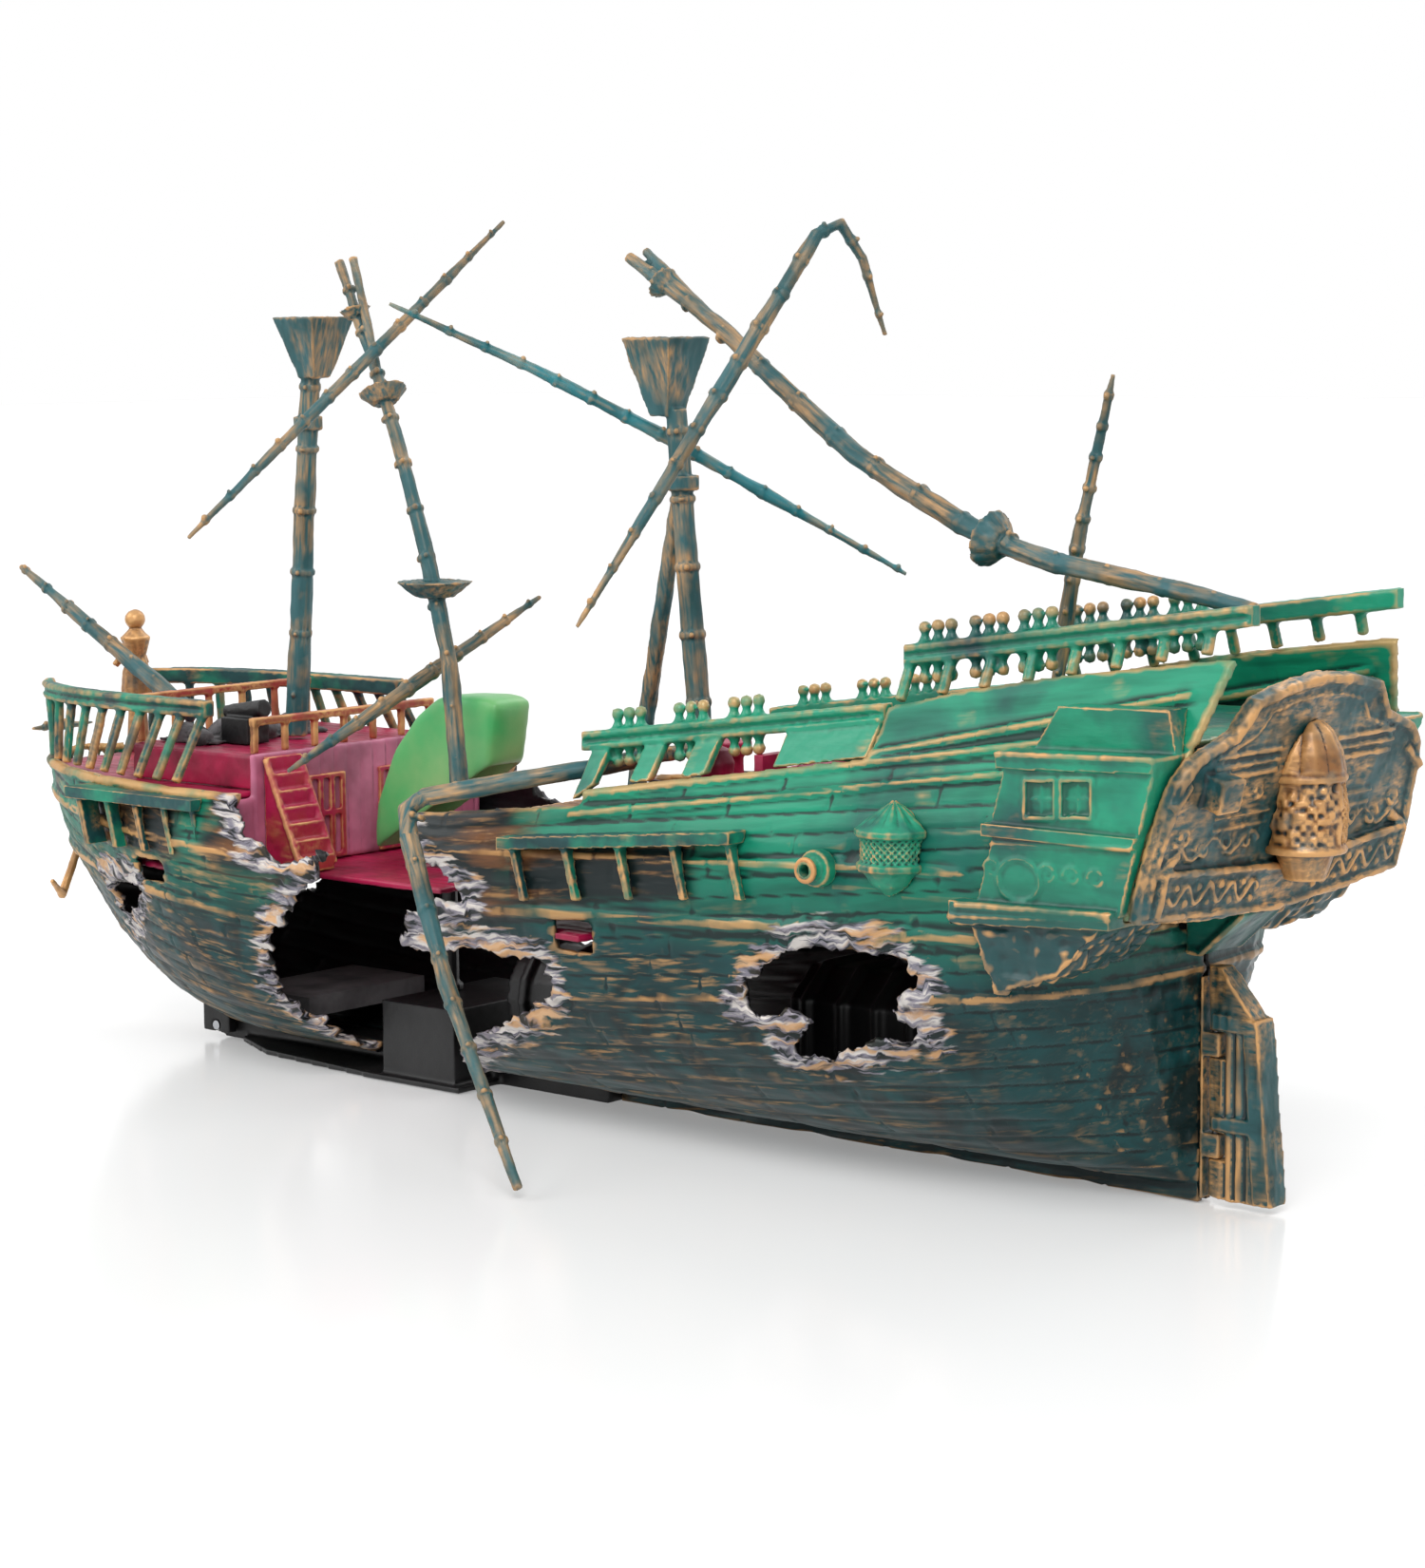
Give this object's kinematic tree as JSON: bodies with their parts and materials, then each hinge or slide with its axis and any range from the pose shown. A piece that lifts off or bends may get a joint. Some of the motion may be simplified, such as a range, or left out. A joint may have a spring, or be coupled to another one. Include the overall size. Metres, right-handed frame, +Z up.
{
  "type": "aquarium bubbling shipwreck ornament",
  "caption": "Aquarium ornament shaped as a wrecked sailing ship in two halves; air fills a bell that lifts the bow half, then spills as bubbles.",
  "frame": {"origin": "centre line of the black base, on its bottom face, on the tank floor", "axes": "+X towards the stern, +Y to starboard, +Z up"},
  "size_m": [0.5065, 0.1763, 0.2545],
  "materials": {
    "green_hull": "sea-green plastic with gold dry brushing",
    "teal_hull": "dark teal plastic with gold dry brushing",
    "gilt_trim": "gold brushed over dark teal",
    "slate_spars": "slate teal with tan brushing",
    "teal_spar": "teal with tan brushing",
    "magenta_deck": "satin magenta",
    "pink_wall": "satin pink",
    "red_trim": "red with gold tops",
    "brown_planks": "brown wash over moulded planks",
    "green_bell": "light green satin",
    "black_plastic": "black satin",
    "steel_pin": "stainless pin",
    "ballast_iron": "sealed iron weight"
  },
  "bodies": {
    "stern_half": {"stern_shell_port": "green_hull", "stern_shell_starboard": "green_hull", "waist_deck": "brown_planks", "quarter_deck": "magenta_deck", "poop_deck": "green_hull", "gun_deck": "magenta_deck", "main_mast": "slate_spars", "main_topmast_fallen": "slate_spars", "main_yard_long": "teal_spar", "main_yard_bent": "slate_spars", "mizzen_yard": "slate_spars", "draped_spar": "slate_spars", "quarter_rail_port": "green_hull", "poop_rail_port": "green_hull", "quarter_rail_starboard": "green_hull", "poop_rail_starboard": "green_hull", "transom_plate": "gilt_trim", "stern_lantern": "gilt_trim", "rudder_pin": "steel_pin", "rudder_gudgeons": "gilt_trim", "quarter_gallery_port": "green_hull", "main_channel_port": "gilt_trim", "side_turret_port": "gilt_trim", "quarter_gallery_starboard": "green_hull", "main_channel_starboard": "gilt_trim", "side_turret_starboard": "gilt_trim", "side_cannon": "red_trim", "capstan": "magenta_deck", "base_chassis": "black_plastic", "air_nipple": "black_plastic", "riser_tube": "black_plastic", "hinge_pin": "steel_pin", "stern_tank": "black_plastic", "air_drum": "black_plastic"},
    "rudder": {"rudder": "gilt_trim"},
    "bow_half": {"bow_shell_port": "teal_hull", "bow_shell_starboard": "teal_hull", "fore_deck": "magenta_deck", "well_deck": "magenta_deck", "cabin_wall": "pink_wall", "forecastle_roof": "magenta_deck", "cabin_stairs": "gilt_trim", "foremast": "slate_spars", "fore_topmast_fallen": "slate_spars", "fore_yard_upper": "slate_spars", "fore_yard_lower": "slate_spars", "bowsprit": "slate_spars", "sprit_yard": "slate_spars", "fore_rail_port": "teal_hull", "fore_rail_starboard": "teal_hull", "fore_channel_port": "gilt_trim", "fore_channel_starboard": "gilt_trim", "deck_gun": "black_plastic", "after_deck_rail": "red_trim", "forward_deck_rail": "red_trim", "figurehead": "gilt_trim", "anchor": "gilt_trim", "air_bell": "green_bell", "hinge_yoke": "black_plastic", "bow_ballast": "ballast_iron"}
  },
  "joints": [
    {"name": "bow_rise", "type": "hinge", "parent": "stern_half", "child": "bow_half", "pos_m": [-0.145, 0, 0.004], "axis": [0, -1, 0], "range_deg": [0, 12]},
    {"name": "rudder_swing", "type": "hinge", "parent": "stern_half", "child": "rudder", "pos_m": [0.2205, 0, 0], "axis": [0, 0, 1], "range_deg": [-25, 25]}
  ]
}
